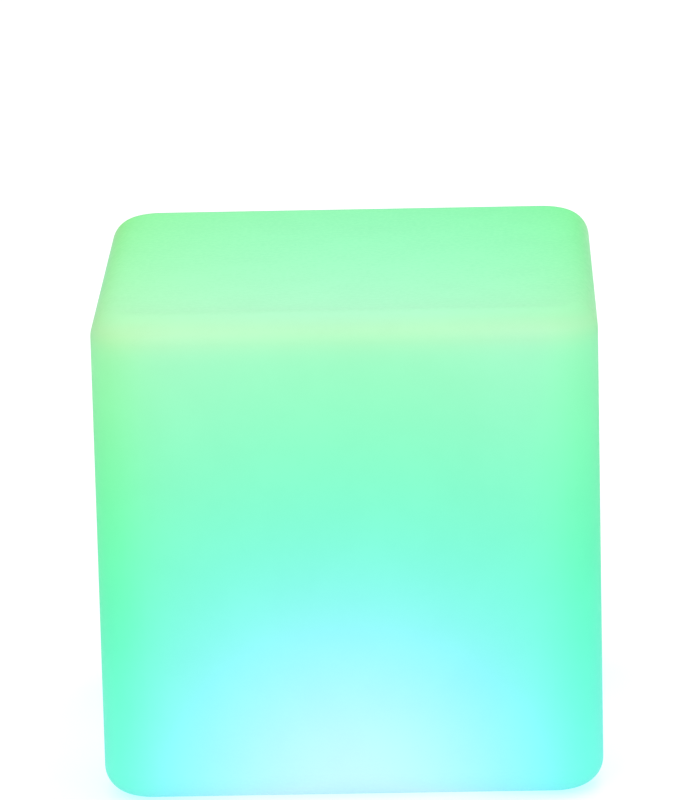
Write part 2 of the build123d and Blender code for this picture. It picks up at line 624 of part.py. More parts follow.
def led_lead():
    """Flat four-core lead from the control board, over the cells and up through the deck to the lights."""
    over = DECK_Z - LEAD_ROOM / 2
    top = LED_Z + LEAD_THICK / 2
    route = [(POST_X, 0, BOARD_TOP), (POST_X, 0, over), (0, 0, over), (0, 0, top), (-LED_LEAD_END, 0, top)]
    return flat_lead(route, LED_LEAD_WIDTH, (0, 1, 0))


# ---------------------------------------------------------------- one file for each piece

PIECES = [diffuser_shell, unit_inserts, rubber_feet, mouth_gasket, lamp_base, unit_screws, housing_seal,
          lamp_housing, housing_screws, lens_dome, led_board, led_chips, led_screws, control_board,
          control_parts, board_spacers, battery_cradle, battery_cells, cell_links, cell_straps, cradle_screws,
          port_cover, cover_anchor, charge_socket, socket_pin, indicator_lens, power_button, button_boot,
          push_switch, switch_plunger, battery_lead, led_lead]

os.makedirs("parts", exist_ok=True)
for piece in PIECES:
    shape = piece()
    if isinstance(shape, list):
        shape = Compound(label=piece.__name__, children=[solid for item in shape for solid in item.solids()])
    export_step(shape, f"parts/{piece.__name__}.step")
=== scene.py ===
from math import cos, pi, radians, sin

import bmesh
import bpy
from mathutils import Matrix, Vector


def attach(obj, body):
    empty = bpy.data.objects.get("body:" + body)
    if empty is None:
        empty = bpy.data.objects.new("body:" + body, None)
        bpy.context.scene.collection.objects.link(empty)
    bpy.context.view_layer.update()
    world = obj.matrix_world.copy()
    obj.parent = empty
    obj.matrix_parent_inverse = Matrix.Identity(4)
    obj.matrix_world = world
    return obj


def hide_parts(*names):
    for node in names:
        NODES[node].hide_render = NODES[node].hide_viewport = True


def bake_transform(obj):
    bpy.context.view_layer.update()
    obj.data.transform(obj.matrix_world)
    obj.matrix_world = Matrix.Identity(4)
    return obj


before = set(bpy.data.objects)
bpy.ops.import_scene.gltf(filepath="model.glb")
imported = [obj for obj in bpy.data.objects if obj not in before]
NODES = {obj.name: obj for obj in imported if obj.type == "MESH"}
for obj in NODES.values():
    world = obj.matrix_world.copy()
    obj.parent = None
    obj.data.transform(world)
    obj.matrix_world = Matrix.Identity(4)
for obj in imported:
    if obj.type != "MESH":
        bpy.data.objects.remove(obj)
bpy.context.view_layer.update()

# The glowing cube light in metres, in the frame of its solids: the origin is on the ground under the
# middle of the cube, +Z is up and the front faces -Y.

SCENE = bpy.context.scene

# ---------------------------------------------------------------- sizes

SIDE = 0.400
HALF = SIDE / 2
TOP = 0.400
GROUND_GAP = 0.0025        # the feet hold the shell this far off the ground
UPRIGHT_R = 0.040          # rounding of the upright edges
LEVEL_R = 0.022            # rounding of the level edges
WALL = 0.004
POCKET_R = 0.079           # the round pocket in the underside, for the lamp unit
POCKET_BEVEL = 0.003
SEAT_Z = 0.0155            # roof of the pocket, where the lamp unit is screwed on
MOUTH_R = 0.056            # the hole in that roof, for the lamp unit's drum
FOOT_SPACING = 0.280
FOOT_R = 0.014
FOOT_SEAT_Z = 0.004
FOOT_FIT = 0.0003
UNIT_SCREW_COUNT = 4
UNIT_CIRCLE_R = 0.0655     # circle of the screws that hold the lamp unit
UNIT_TURN = radians(45.0)
BOSS_R = 0.00715
BOSS_TOP = 0.0285
INSERT_FLAT_R = 0.00365    # half the width of an insert's six-sided room
INSERT_TOP = 0.0255
FLANGE_Z = 0.0099          # underside of the lamp unit
FLOOR_Z = 0.0139           # upper face of its floor
CRADLE_EAR_Z = 0.034       # upper face of the battery cradle's ears
CELL_Z = 0.0432            # middle of the cells
CELL_PITCH = 0.019
DECK_Z = 0.0598            # the deck under the light board and the dome
LIGHT_BOARD_Z = 0.0614     # upper face of the light board
PORT = (-0.018, -0.024, 0.0)
INDICATOR = (0.0, -0.024, 0.0)
BUTTON = (0.018, -0.024, 0.0)
LID_Z = 0.0095             # underside of the port cover
SUNK = 0.0003              # how deep ribs and ridges reach into the piece they stand on
THROUGH = 0.001            # how far a cutting shape goes past the faces it opens

# Screws: head radius and height, shank radius and thread pitch.
M4 = (0.0042, 0.0022, 0.0020, 0.0007)
M3 = (0.0028, 0.0016, 0.0015, 0.0006)
M2_5 = (0.0023, 0.0014, 0.00125, 0.0005)

# Edges that bend by more than these angles stay sharp.
TREE_CREASE = 0.5
SOLID_CREASE = radians(35.0)
TURNED_CREASE = radians(40.0)

# A solid's corners nearer than this are one, and facets that bend by less than this are one face.
SAME_PLACE = 0.000002
SAME_FACE = radians(1.0)


# ---------------------------------------------------------------- node trees

class Nodes:
    """Adds nodes to a tree and joins them up."""

    def __init__(self, tree):
        self.tree = tree
        tree.nodes.clear()

    def node(self, kind, settings=None, **sockets):
        made = self.tree.nodes.new(kind)
        for key, value in (settings or {}).items():
            setattr(made, key, value)
        for key, value in sockets.items():
            self.join(value, made.inputs[key.replace("_", " ")])
        return made

    def join(self, source, target):
        """Links a socket to the target, or gives the target a value of its own."""
        if isinstance(source, bpy.types.NodeSocket):
            self.tree.links.new(source, target)
        elif isinstance(source, tuple):
            target.default_value = source if len(target.default_value) == len(source) else (*source, 1.0)
        else:
            target.default_value = source

    def math(self, operation, a, b=0.0, c=0.0):
        made = self.node("ShaderNodeMath", {"operation": operation})
        for socket, value in zip(made.inputs, (a, b, c)):
            self.join(value, socket)
        return made.outputs[0]

    def plus(self, a, b):
        return self.math("ADD", a, b)

    def minus(self, a, b):
        return self.math("SUBTRACT", a, b)

    def times(self, a, b):
        return self.math("MULTIPLY", a, b)

    def over(self, a, b):
        return self.math("DIVIDE", a, b)

    def power(self, a, b):
        return self.math("POWER", a, b)

    def seen_directly(self):
        """1 for what the camera sees, also by reflection or through clear plastic; 0 for light on things."""
        ray = self.node("ShaderNodeLightPath").outputs
        seen = self.math("MAXIMUM", ray["Is Camera Ray"], ray["Is Glossy Ray"])
        return self.math("MAXIMUM", seen, ray["Is Transmission Ray"])

    def either(self, share, first, second):
        """The second shader where the share is 1, and the first where it is 0."""
        made = self.node("ShaderNodeMixShader")
        for socket, source in zip(made.inputs, (share, first.outputs[0], second.outputs[0])):
            self.join(source, socket)
        return made.outputs[0]


# ---------------------------------------------------------------- materials

class Finish(Nodes):
    """One procedural material, built up node by node round a Principled shader."""

    def __init__(self, name, roughness, **values):
        self.material = bpy.data.materials.new(name)
        self.material.use_nodes = True
        super().__init__(self.material.node_tree)
        self.shader = self.node("ShaderNodeBsdfPrincipled", Roughness=roughness, **values)
        self.end = self.node("ShaderNodeOutputMaterial", Surface=self.shader.outputs["BSDF"])
        self.place = self.node("ShaderNodeTexCoord").outputs["Object"]

    def total(self, pairs):
        """Sum of (value, factor) pairs."""
        result = 0.0
        for value, factor in pairs:
            result = self.math("MULTIPLY_ADD", value, factor, result)
        return result

    def ramp(self, value, low, high, to_low=0.0, to_high=1.0, smooth=True):
        return self.node("ShaderNodeMapRange", {"interpolation_type": "SMOOTHSTEP" if smooth else "LINEAR"},
                         Value=value, From_Min=low, From_Max=high, To_Min=to_low,
                         To_Max=to_high).outputs["Result"]

    def mix(self, share, a, b):
        made = self.node("ShaderNodeMix", {"data_type": "RGBA"})
        for socket, value in ((made.inputs[0], share), (made.inputs[6], a), (made.inputs[7], b)):
            self.join(value, socket)
        return made.outputs[2]

    def noise(self, size, detail=3.0, roughness=0.5, place=None):
        """Cloudy pattern whose blobs are about size metres across, from 0 to 1."""
        return self.node("ShaderNodeTexNoise", Vector=place or self.place, Scale=1.0 / size, Detail=detail,
                         Roughness=roughness).outputs["Fac"]

    def cells(self, size):
        return self.node("ShaderNodeTexVoronoi", Vector=self.place, Scale=1.0 / size).outputs["Distance"]

    def clouds(self, size, a, b, detail=3.0, roughness=0.5):
        """Colour that wanders between two shades."""
        return self.mix(self.noise(size, detail, roughness), a, b)

    def patches(self, size, low, high):
        """Number that wanders between two values."""
        return self.ramp(self.noise(size), 0.3, 0.7, low, high)

    def stretched(self, x, y, z):
        return self.node("ShaderNodeMapping", Vector=self.place, Scale=(x, y, z)).outputs["Vector"]

    def pulse(self, value, centre, width):
        """1 at the centre and 0 beyond half the width."""
        return self.ramp(self.math("ABSOLUTE", self.minus(value, centre)), width / 2, 0.0)

    def own(self, name):
        """A number stored on the mesh."""
        return self.node("ShaderNodeAttribute", {"attribute_name": name}).outputs["Fac"]

    def axes(self):
        return self.node("ShaderNodeSeparateXYZ", Vector=self.place).outputs

    def colour(self, value):
        self.join(value, self.shader.inputs["Base Color"])

    def rough(self, value):
        self.join(value, self.shader.inputs["Roughness"])

    def relief(self, *heights, strength=0.5):
        """Bump from (height, depth in metres) pairs, one on top of the other. Gives the material."""
        normal = None
        for height, depth in heights:
            made = self.node("ShaderNodeBump", Strength=strength, Distance=depth, Height=height)
            if normal is not None:
                self.join(normal, made.inputs["Normal"])
            normal = made.outputs["Normal"]
        self.join(normal, self.shader.inputs["Normal"])
        return self.material


def moulded(name, light, dark, roughness, grain=0.0009, depth=0.00002, **values):
    """Injection-moulded plastic: faint clouds in the colour and a fine eroded grain."""
    f = Finish(name, roughness, Specular_IOR_Level=0.4, **values)
    f.colour(f.clouds(0.018, light, dark, 4.0))
    f.rough(f.patches(0.006, roughness - 0.05, roughness + 0.08))
    return f.relief((f.noise(grain, 2.0), depth), (f.noise(0.012), depth * 2), strength=0.6)


def rubbery(name, light, dark, roughness):
    """Moulded rubber or silicone: dusty clouds and a matt, slightly pitted skin."""
    f = Finish(name, roughness, Specular_IOR_Level=0.3)
    dust = f.ramp(f.noise(0.007, 6.0, 0.65), 0.45, 0.75)
    f.colour(f.mix(dust, dark, light))
    f.rough(f.ramp(dust, 0.0, 1.0, roughness - 0.1, roughness + 0.12))
    return f.relief((f.cells(0.0007), 0.00003), (f.noise(0.004), 0.00005), strength=0.5)


def plated(name, light, dark, roughness=0.28):
    """Turned and plated metal: fine level turning marks, dull patches."""
    f = Finish(name, roughness, Metallic=1.0)
    marks = f.noise(0.0008, 3.0, 0.6, f.stretched(0.3, 0.3, 2.5))
    f.colour(f.clouds(0.003, light, dark, 4.0))
    f.rough(f.ramp(marks, 0.3, 0.7, roughness - 0.06, roughness + 0.16))
    return f.relief((marks, 0.00001), strength=0.4)


def circuit_board(name, mask, track, pitch):
    """Coated circuit board: right-angled tracks under the coating, faint weave."""
    f = Finish(name, 0.38, Specular_IOR_Level=0.45)
    squares = {"feature": "F1", "distance": "CHEBYCHEV", "voronoi_dimensions": "2D"}
    paths = f.node("ShaderNodeTexVoronoi", squares, Vector=f.place, Scale=1.0 / pitch)
    step = f.math("FRACT", f.times(paths.outputs["Distance"], 4.0))
    line = f.ramp(f.math("ABSOLUTE", f.minus(step, 0.5)), 0.22, 0.16)
    f.colour(f.mix(line, f.clouds(0.0011, mask, tuple(c * 0.8 for c in mask), 2.0), track))
    f.rough(f.ramp(line, 0.0, 1.0, 0.42, 0.3))
    return f.relief((line, 0.00004), (f.noise(0.0006), 0.00001), strength=0.5)


def clear_plastic(name, tint, roughness, glow):
    """Clear moulding that carries light, with faint flow marks."""
    f = Finish(name, roughness, Transmission_Weight=0.9, IOR=1.49, Emission_Color=glow, Emission_Strength=1.0)
    f.colour(f.clouds(0.01, tint, tuple(c * 0.95 for c in tint)))
    f.rough(f.patches(0.002, roughness * 0.8, roughness * 1.25))
    return f.relief((f.noise(0.006), 0.0001), strength=0.3)


def light_chip():
    """White ceramic frame with a glowing resin window."""
    f = Finish("light_chip", 0.35, Emission_Color=(0.35, 1.0, 0.62))
    window = f.own("window")
    f.colour(f.mix(window, f.clouds(0.0008, (0.86, 0.86, 0.84), (0.74, 0.74, 0.72)), (0.70, 0.90, 0.60)))
    f.join(f.times(window, 1.4), f.shader.inputs["Emission Strength"])
    return f.relief((f.noise(0.0004), 0.00001), strength=0.4)


def cell_sleeve():
    """Shrink sleeve with fine wrinkles near its ends, and the bare steel end inside it."""
    f = Finish("cell_sleeve", 0.3)
    along = f.math("ABSOLUTE", f.axes()[1])
    bare = f.own("bare")
    wrinkles = f.times(f.noise(0.0012, 4.0, 0.7, f.stretched(1.0, 0.15, 1.0)), f.ramp(along, 0.020, 0.032))
    sleeve = f.clouds(0.006, (0.035, 0.20, 0.42), (0.025, 0.14, 0.33), 4.0)
    f.colour(f.mix(bare, sleeve, (0.62, 0.61, 0.58)))
    f.join(bare, f.shader.inputs["Metallic"])
    f.rough(f.ramp(wrinkles, 0.0, 0.8, 0.24, 0.5))
    return f.relief((wrinkles, 0.0002), strength=0.4)


def ribbon(name, colours, axis, start, pitch=0.0016):
    """Flat lead of parallel cores in turn, with a groove between neighbours."""
    f = Finish(name, 0.45, Specular_IOR_Level=0.35)
    across = f.over(f.minus(f.axes()[axis], start), pitch)
    shade = colours[0]
    for i, colour in enumerate(colours[1:], 1):
        shade = f.mix(f.math("GREATER_THAN", across, float(i)), shade, colour)
    groove = f.math("ABSOLUTE", f.minus(f.math("FRACT", across), 0.5))
    f.colour(f.mix(f.times(f.noise(0.003, 4.0), 0.35), shade, (0.05, 0.05, 0.05)))
    return f.relief((f.ramp(groove, 0.5, 0.1), 0.0004), (f.noise(0.0015), 0.00003), strength=0.6)


def prism_frost():
    """Frosted dome whose inside is pressed with fine rings."""
    f = Finish("frosted_dome", 0.3, Transmission_Weight=0.85, IOR=1.58)
    ring_pitch = 0.0016
    x, y, _ = f.axes()
    radius = f.math("SQRT", f.plus(f.times(x, x), f.times(y, y)))
    rings = f.math("SINE", f.times(radius, 2.0 * pi / ring_pitch))
    f.colour(f.clouds(0.012, (0.95, 0.97, 0.96), (0.88, 0.92, 0.90)))
    f.rough(f.patches(0.0015, 0.24, 0.38))
    return f.relief((rings, 0.00006), (f.noise(0.0009), 0.00003), strength=0.4)


# ---------------------------------------------------------------- the glowing shell

# Light that leaves the shell: what each term adds to linear red, green and blue. Most of it is the glow of the
# lamp unit inside, and part is painted room light: the red that rises towards the top is painted warm light
# from above, and the darker ends of the top at the left and right are partly the thicker wall and partly
# painted shade along the outline. Height and depth are z and y in metres. Across runs from -1 at the left side
# to 1 at the right, ahead from 0 in the middle to 1 at the front, and edge from 0 in the middle of a side to 1
# at an upright edge. Up is height squared. A number behind a name is its power. Rim is the warm band along the
# top's rounded rim, at the front and back: partly the thicker wall, partly a painted highlight of warm room
# light; where it has a number, it is that band times a power of across. Hot is the light low in the middle of
# a side, next to the lamp unit.
SIDE_GLOW_AND_PAINTED_LIGHT = {
    "level": (-0.0203, 0.7440, 0.4473),
    "height": (-0.0759, -0.3482, -0.8288),
    "height_2": (2.1979, 0.2120, 1.6065),
    "edge": (0.0404, -0.0262, 0.0420),
    "edge_4": (-0.0568, 0.0539, -0.1429),
    "across": (-0.0132, -0.0061, -0.0124),
    "across_edge": (0.0109, 0.0056, 0.0564),
    "rim": (0.1299, -0.0080, -0.0093),
    "hot": (0.5376, -0.0838, 1.0229),
    "edge_up": (-0.0306, -0.2255, 0.2186),
    "edge_up_across": (-0.0719, 0.1979, 0.0494),
    "rim_8": (-0.0030, -0.0740, -0.0210),
    "rim_24": (-0.0200, -0.0030, -0.0400),
    "rim_25": (0.0000, 0.0260, -0.0400),
}
# On the top face: the lamp's glow plus painted warm light from above, redder towards the front. Its left and
# right ends are darker: partly the thicker wall, partly painted shade along the outline.
TOP_GLOW_AND_PAINTED_LIGHT = {
    "level": (0.2569, 0.6834, 0.3923),
    "depth": (-0.5387, -0.0252, -0.4897),
    "depth_2": (0.5120, -0.7349, -0.6245),
    "across": (-0.0387, -0.0016, 0.0002),
    "across_2": (-0.0203, 0.0103, -0.1053),
    "across_8": (-0.0360, -0.0506, -0.1019),
    "across_24": (-0.0500, -0.1410, -0.1370),
    "across_25": (0.0200, 0.0430, 0.0700),
    "ahead_8": (-0.0180, -0.0744, -0.0541),
    "ahead_24": (0.0379, -0.0159, -0.0559),
}
HOT_SPREAD = (0.10, 0.16, 0.12)
RIM_WIDTH = (0.017, 0.014, 0.014)
RIM_Z = 0.391                          # where the rounded rim of the top is warmest
EDGE_MOST = 0.0308                     # x squared plus y squared at an upright edge, less HALF squared
SKIN = (0.155, 0.440, 0.275)           # colour of the skin itself in room light
PARTING_Z = GROUND_GAP + LEVEL_R       # where the two halves of the mould met
# A faint milky layer: light that leaves at a flat angle crosses more of it, so the outline is darker.
MILKY_COAT = {"Coat_Weight": 0.6, "Coat_Roughness": 0.5, "Coat_IOR": 1.03, "Coat_Tint": (0.84, 0.90, 0.85)}


def glowing_skin():
    """Milky rotomoulded polyethylene lit from inside: a smooth glow, faint clouds, an orange-peel skin. Part
    of
    the glow is painted room light: a warm highlight on the rim, warm light from above, shade at the outline.
    """
    f = Finish("glowing_polyethylene", 0.5, Specular_IOR_Level=0.12, Emission_Strength=1.0, **MILKY_COAT)
    x, y, z = f.axes()
    xx, yy, zz = (f.times(value, value) for value in (x, y, z))
    aside = f.math("MAXIMUM", f.minus(f.plus(xx, yy), HALF ** 2), 0.0)
    edge = f.over(aside, EDGE_MOST)
    edge_4 = f.power(edge, 4.0)
    edge_up = f.times(edge_4, zz)
    across = f.over(x, HALF)
    across_2 = f.times(across, across)
    across_8 = f.power(across_2, 4.0)
    across_24 = f.power(across_2, 12.0)
    across_25 = f.times(across_24, across)
    ahead = f.math("MAXIMUM", f.over(y, -HALF), 0.0)
    terms = {"level": 1.0, "height": z, "height_2": zz, "depth": y, "depth_2": yy, "edge": edge,
             "edge_4": edge_4, "across": across, "across_2": across_2, "across_8": across_8,
             "across_24": across_24, "across_25": across_25, "across_edge": f.times(across, edge),
             "edge_up": edge_up, "edge_up_across": f.times(edge_up, across),
             "ahead_8": f.power(ahead, 8.0), "ahead_24": f.power(ahead, 24.0)}
    off_rim = f.power(f.math("ABSOLUTE", f.minus(z, RIM_Z)), 2.0)
    rim_terms = {"rim": f.over(yy, HALF ** 2), "rim_8": across_8, "rim_24": across_24, "rim_25": across_25}

    def bell(square, spread):
        return f.math("EXPONENT", f.times(square, -1.0 / spread ** 2))

    on_top = f.ramp(z, TOP - LEVEL_R * 0.8, TOP - 0.0005)
    clouds = f.ramp(f.noise(0.07), 0.25, 0.75, 0.985, 1.015)
    # The emission is the lamp's glow with painted room light in it: a painted warm highlight on the rim,
    # painted warm light from above and painted shade along the outline.
    glow = f.node("ShaderNodeCombineColor")
    for i in range(3):
        at_rim = bell(off_rim, RIM_WIDTH[i])
        terms.update({name: f.times(at_rim, share) for name, share in rim_terms.items()})
        terms["hot"] = bell(f.plus(aside, zz), HOT_SPREAD[i] * 2 ** 0.5)
        side, top = (f.total((terms[name], factors[i]) for name, factors in table.items())
                     for table in (SIDE_GLOW_AND_PAINTED_LIGHT, TOP_GLOW_AND_PAINTED_LIGHT))
        field = f.times(f.ramp(on_top, 0.0, 1.0, side, top, smooth=False), clouds)
        f.join(f.math("MAXIMUM", field, 0.0), glow.inputs[i])
    f.join(glow.outputs[0], f.shader.inputs["Emission Color"])

    paler = tuple(min(1.0, c * 1.06) for c in SKIN)
    duller = tuple(c * 0.94 for c in SKIN)
    f.colour(f.clouds(0.03, paler, duller, 5.0, 0.6))
    f.rough(f.patches(0.004, 0.40, 0.54))
    peel = f.noise(0.0045, 2.0, 0.4)
    pits = f.cells(0.0016)
    seam = f.pulse(z, PARTING_Z, 0.0012)
    return f.relief((peel, 0.00012), (pits, 0.00002), (seam, 0.0002), strength=0.35)


# ---------------------------------------------------------------- geometry node trees

class Tree(Nodes):
    """A Geometry Nodes tree. Each of its named inputs is an attribute too."""

    def __init__(self, name, **inputs):
        super().__init__(bpy.data.node_groups.new(name, "GeometryNodeTree"))
        face = self.tree.interface
        face.new_socket("Geometry", in_out="INPUT", socket_type="NodeSocketGeometry")
        self.given = []
        for key, value in inputs.items():
            kind = "NodeSocketInt" if isinstance(value, int) else "NodeSocketFloat"
            socket = face.new_socket(key.replace("_", " ").capitalize(), in_out="INPUT", socket_type=kind)
            self.given.append((socket.identifier, value))
        face.new_socket("Geometry", in_out="OUTPUT", socket_type="NodeSocketGeometry")
        start = self.node("NodeGroupInput").outputs
        self.base = start[0]
        for i, key in enumerate(inputs, 1):
            setattr(self, key, start[i])
        self.end = self.node("NodeGroupOutput")

    def vector(self, operation, a, b=None, scale=None):
        made = self.node("ShaderNodeVectorMath", {"operation": operation})
        self.join(a, made.inputs[0])
        if b is not None:
            self.join(b, made.inputs[1])
        if scale is not None:
            self.join(scale, made.inputs["Scale"])
        return made.outputs["Value" if operation == "LENGTH" else "Vector"]

    def xyz(self, x=0.0, y=0.0, z=0.0):
        return self.node("ShaderNodeCombineXYZ", X=x, Y=y, Z=z).outputs[0]

    def moved(self, shape, place=(0.0, 0.0, 0.0), turn=(0.0, 0.0, 0.0)):
        return self.node("GeometryNodeTransform", Geometry=shape, Translation=place, Rotation=turn).outputs[0]

    def drum(self, radius, low, high, steps=96):
        """A round bar about the Z axis."""
        made = self.node("GeometryNodeMeshCylinder", Vertices=steps, Radius=radius,
                         Depth=self.minus(high, low))
        return self.moved(made.outputs["Mesh"], self.xyz(z=self.times(self.plus(high, low), 0.5)))

    def hole(self, radius, low, high, steps=96):
        """A drum that goes a little past both faces, for cutting."""
        return self.drum(radius, self.minus(low, THROUGH), self.plus(high, THROUGH), steps)

    def ring_points(self, count, radius, first_angle):
        made = self.node("GeometryNodeMeshCircle", Vertices=count, Radius=radius)
        return self.moved(made.outputs[0], turn=self.xyz(z=first_angle))

    def row_points(self, count, pitch, angle=0.0):
        """Points in a row with the origin in the middle, along X when the angle is 0."""
        made = self.node("GeometryNodeMeshLine", Count=count, Offset=self.xyz(x=pitch))
        back = self.times(self.times(self.minus(count, 1), pitch), -0.5)
        return self.moved(self.moved(made.outputs[0], self.xyz(x=back)), turn=self.xyz(z=angle))

    def grid_points(self, spacing_x, spacing_y, centre_y=0.0):
        """Four points at the corners of a rectangle."""
        made = self.node("GeometryNodeMeshGrid", Size_X=spacing_x, Size_Y=spacing_y, Vertices_X=2,
                         Vertices_Y=2)
        return self.moved(made.outputs["Mesh"], self.xyz(y=centre_y))

    def outward(self):
        """Turns each copy's X axis away from the middle."""
        place = self.node("GeometryNodeInputPosition").outputs[0]
        return self.node("FunctionNodeAlignRotationToVector", {"axis": "X"}, Vector=place).outputs[0]

    def both(self, *shapes):
        made = self.node("GeometryNodeJoinGeometry")
        for shape in shapes:
            self.join(shape, made.inputs[0])
        return made.outputs[0]

    def bar(self, width, depth, height, turn):
        made = self.node("GeometryNodeMeshCube", Size=self.xyz(width, depth, height))
        return self.moved(made.outputs["Mesh"], turn=(0.0, 0.0, turn))

    def repeated(self, shape, points, turn=(0.0, 0.0, 0.0)):
        made = self.node("GeometryNodeInstanceOnPoints", Points=points, Instance=shape, Rotation=turn)
        return self.node("GeometryNodeRealizeInstances", Geometry=made.outputs[0]).outputs[0]

    def cut(self, body, *tools):
        made = self.node("GeometryNodeMeshBoolean", {"operation": "DIFFERENCE", "solver": "MANIFOLD"})
        self.join(body, made.inputs["Mesh 1"])
        for tool in tools:
            self.join(tool, made.inputs["Mesh 2"])
        return made.outputs[0]

    def finished(self, shape, material):
        """Smooth faces, sharp creases and the material."""
        angle = self.node("GeometryNodeInputMeshEdgeAngle").outputs["Unsigned Angle"]
        faces = self.node("GeometryNodeSetShadeSmooth", {"domain": "FACE"}, Geometry=shape, Shade_Smooth=True)
        edges = self.node("GeometryNodeSetShadeSmooth", {"domain": "EDGE"}, Geometry=faces.outputs[0],
                          Shade_Smooth=self.math("LESS_THAN", angle, TREE_CREASE))
        solid = self.node("GeometryNodeRealizeInstances", Geometry=edges.outputs[0])
        made = self.node("GeometryNodeSetMaterial", Geometry=solid.outputs[0], Material=material)
        self.join(made.outputs[0], self.end.inputs[0])

    def baked(self, name, base=None):
        """The tree's result as a plain object at the origin."""
        holder = placed("holder", base or bpy.data.meshes.new("holder"))
        modifier = holder.modifiers.new("tree", "NODES")
        modifier.node_group = self.tree
        for identifier, value in self.given:
            modifier[identifier] = value
        view = bpy.context.evaluated_depsgraph_get()
        mesh = bpy.data.meshes.new_from_object(holder.evaluated_get(view), preserve_all_data_layers=True,
                                               depsgraph=view)
        mesh.name = name
        bpy.data.objects.remove(holder)
        return placed(name, mesh)


def placed(name, mesh):
    piece = bpy.data.objects.new(name, mesh)
    SCENE.collection.objects.link(piece)
    return piece


def stands_for(piece, body, slot, *nodes):
    """Lets a piece ride on its body in place of its solids; given two bodies, the piece stays where it is."""
    if isinstance(body, str):
        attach(piece, body)
    else:
        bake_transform(piece)
    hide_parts(*nodes)
    return piece


def rounded_solid(t, inset):
    """The cube's outer form, or its hollow when it is inset: a fine box pushed out round a smaller core."""
    half = t.minus(t.times(t.side, 0.5), inset)
    low = t.plus(t.ground_gap, inset)
    high = t.minus(t.top, inset)
    half_z = t.times(t.minus(high, low), 0.5)
    middle = t.times(t.plus(high, low), 0.5)
    upright = t.minus(t.upright_radius, inset)
    level = t.minus(t.level_radius, inset)
    size = t.xyz(half, half, half_z)
    flat = t.vector("SUBTRACT", size, t.xyz(upright, upright, level))
    box = t.node("GeometryNodeMeshCube", Size=(2.0, 2.0, 2.0), Vertices_X=t.steps, Vertices_Y=t.steps,
                 Vertices_Z=t.steps).outputs["Mesh"]
    place = t.node("GeometryNodeInputPosition").outputs[0]
    away = t.vector("ABSOLUTE", place)

    def stretch(low_in, high_in, high_out):
        made = t.node("ShaderNodeMapRange", {"data_type": "FLOAT_VECTOR", "clamp": True})
        for socket, value in zip([s for s in made.inputs if s.type == "VECTOR"],
                                 (away, (low_in,) * 3, (high_in,) * 3, (0.0,) * 3, high_out)):
            t.join(value, socket)
        return made.outputs["Vector"]

    flat_share = 0.36          # of the box's steps; the others follow the rounding
    spread = t.vector("ADD", stretch(0.0, flat_share, flat),
                      stretch(flat_share, 1.0, t.vector("SUBTRACT", size, flat)))
    point = t.vector("MULTIPLY", spread, t.vector("SIGN", place))
    parts = t.node("ShaderNodeSeparateXYZ", Vector=point).outputs
    flat_parts = t.node("ShaderNodeSeparateXYZ", Vector=flat).outputs

    def held(axis):
        limit = flat_parts[axis]
        return t.node("ShaderNodeClamp", Value=parts[axis], Min=t.times(limit, -1.0), Max=limit).outputs[0]

    square = t.xyz(held(0), held(1), 0.0)
    over = t.vector("SUBTRACT", t.xyz(parts[0], parts[1], 0.0), square)
    longest = t.math("MAXIMUM", t.vector("LENGTH", over), 1e-9)
    share = t.math("MINIMUM", t.over(t.minus(upright, level), longest), 1.0)
    core = t.vector("ADD", t.vector("ADD", square, t.vector("SCALE", over, scale=share)), t.xyz(z=held(2)))
    outward = t.vector("NORMALIZE", t.vector("SUBTRACT", point, core))
    skin = t.vector("ADD", core, t.vector("SCALE", outward, scale=level))
    made = t.node("GeometryNodeSetPosition", Geometry=box, Position=t.vector("ADD", skin, t.xyz(z=middle)))
    return made.outputs[0]


def make_shell(material):
    """Hollow cube with its pocket, mouth, foot seats and bosses."""
    t = Tree("moulded_cube", side=SIDE, top=TOP, ground_gap=GROUND_GAP, upright_radius=UPRIGHT_R,
             level_radius=LEVEL_R, wall=WALL, pocket_radius=POCKET_R, pocket_bevel=POCKET_BEVEL,
             seat_height=SEAT_Z, mouth_radius=MOUTH_R, foot_spacing=FOOT_SPACING,
             foot_radius=FOOT_R + FOOT_FIT, foot_seat_height=FOOT_SEAT_Z, screw_circle=UNIT_CIRCLE_R,
             screw_turn=UNIT_TURN, screw_count=UNIT_SCREW_COUNT, boss_radius=BOSS_R, boss_top=BOSS_TOP,
             insert_radius=INSERT_FLAT_R / cos(pi / 6), insert_top=INSERT_TOP, steps=45)
    outer = rounded_solid(t, 0.0)
    hollow = rounded_solid(t, t.wall)
    roof = t.plus(t.seat_height, t.wall)
    places = t.ring_points(t.screw_count, t.screw_circle, t.screw_turn)
    well = t.drum(t.plus(t.pocket_radius, t.wall), 0.0, roof)
    bosses = t.repeated(t.drum(t.boss_radius, 0.0, t.boss_top, 32), places)
    hollow = t.cut(hollow, well, bosses)
    below = t.times(t.ground_gap, 0.5)
    pocket = t.drum(t.pocket_radius, below, t.seat_height)
    mouth = t.hole(t.mouth_radius, t.seat_height, roof)
    seats = t.repeated(t.drum(t.foot_radius, below, t.foot_seat_height, 48),
                       t.grid_points(t.foot_spacing, t.foot_spacing))
    rooms = t.repeated(t.drum(t.insert_radius, t.minus(t.seat_height, THROUGH), t.insert_top, 6), places)
    bevel_depth = t.plus(t.pocket_bevel, below)
    bevel = t.node("GeometryNodeMeshCone", Vertices=96, Radius_Top=t.pocket_radius, Depth=bevel_depth,
                   Radius_Bottom=t.plus(t.pocket_radius, bevel_depth)).outputs["Mesh"]
    t.finished(t.cut(outer, hollow, pocket, mouth, seats, rooms, t.moved(bevel, t.xyz(z=below))), material)
    return t.baked("moulded_shell")


# ---------------------------------------------------------------- plain meshes

def as_mesh(name, work):
    """Turns a bmesh into a mesh."""
    mesh = bpy.data.meshes.new(name)
    work.to_mesh(mesh)
    work.free()
    return mesh


